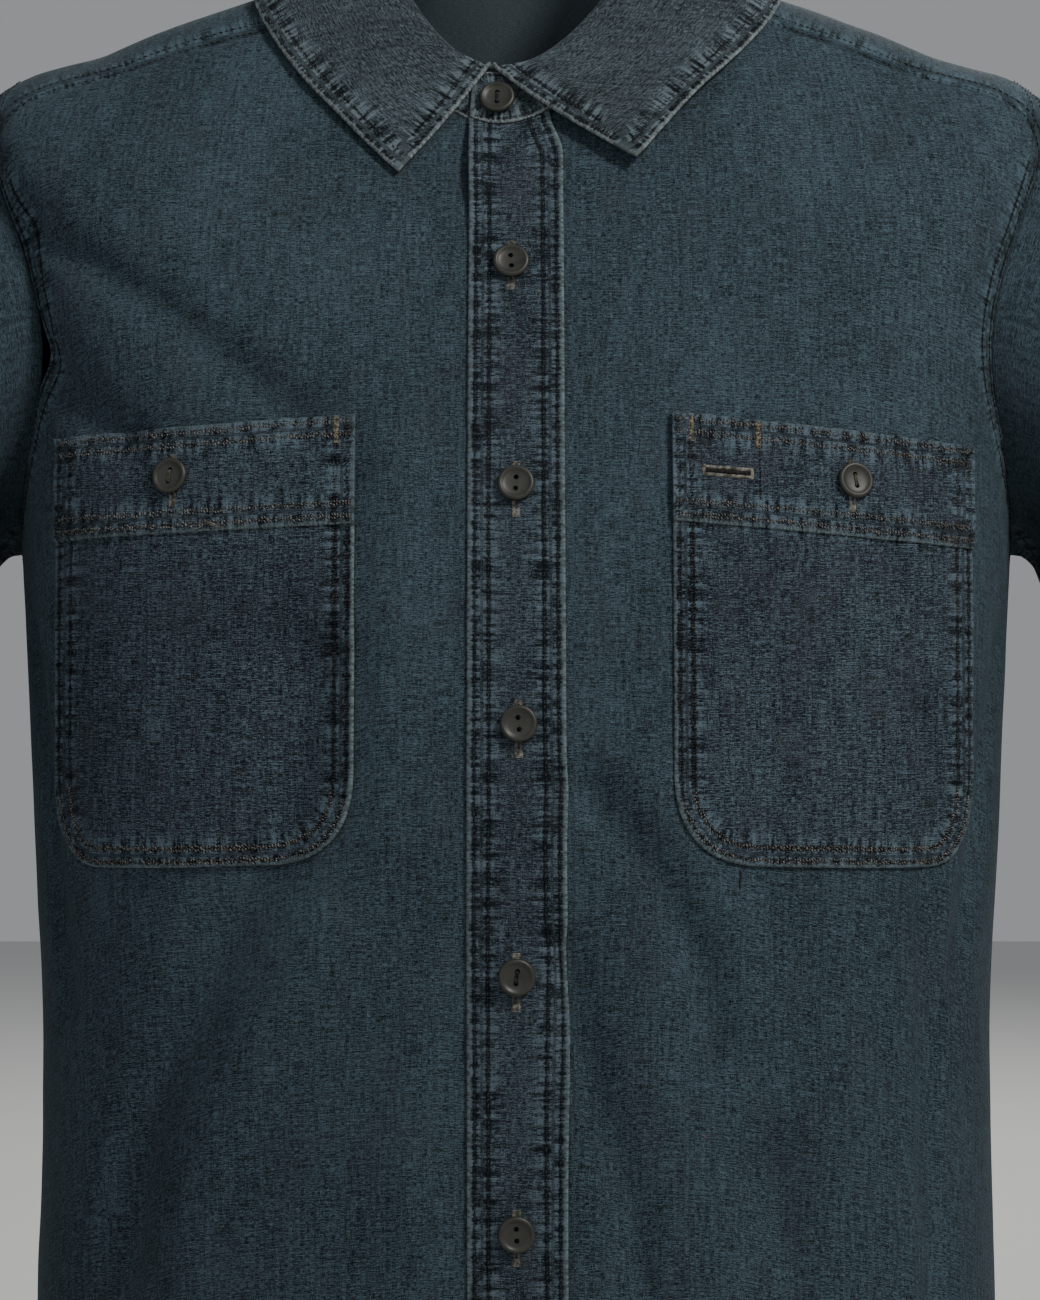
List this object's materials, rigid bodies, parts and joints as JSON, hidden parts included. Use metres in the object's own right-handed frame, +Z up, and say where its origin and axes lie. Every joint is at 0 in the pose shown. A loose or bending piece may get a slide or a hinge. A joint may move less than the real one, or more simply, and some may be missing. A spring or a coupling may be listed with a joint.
{
  "type": "denim shirt",
  "caption": "Long-sleeved denim shirt, buttoned up and filled out as when worn, with pointed collar, front band, two chest pockets and buttoned cuffs.",
  "frame": {"origin": "midway between the two side neck points, on the line of the shoulder ridges, where the wearer carries the shirt", "axes": "+Z up along the body, -Y towards the front of the shirt, +X towards the wearer's left"},
  "size_m": [0.708, 0.2753, 0.7816],
  "materials": {
    "body_denim": "matt",
    "band_denim": "matt",
    "collar_denim": "matt",
    "pocket_denim": "matt",
    "button": "satin"
  },
  "bodies": {
    "root": {"front_right": "body_denim", "front_left": "body_denim", "back": "body_denim", "yoke": "body_denim", "sleeve_right": "body_denim", "sleeve_left": "body_denim", "front_band": "band_denim", "cuff_right": "band_denim", "cuff_left": "band_denim", "collar_stand": "collar_denim", "collar_leaf": "collar_denim", "pocket_right": "pocket_denim", "pocket_left": "pocket_denim", "button_front_1": "button", "button_front_2": "button", "button_front_3": "button", "button_front_4": "button", "button_front_5": "button", "button_front_6": "button", "button_collar": "button", "button_pocket_right": "button", "button_pocket_left": "button", "button_cuff_right": "button", "button_cuff_left": "button"}
  },
  "joints": []
}
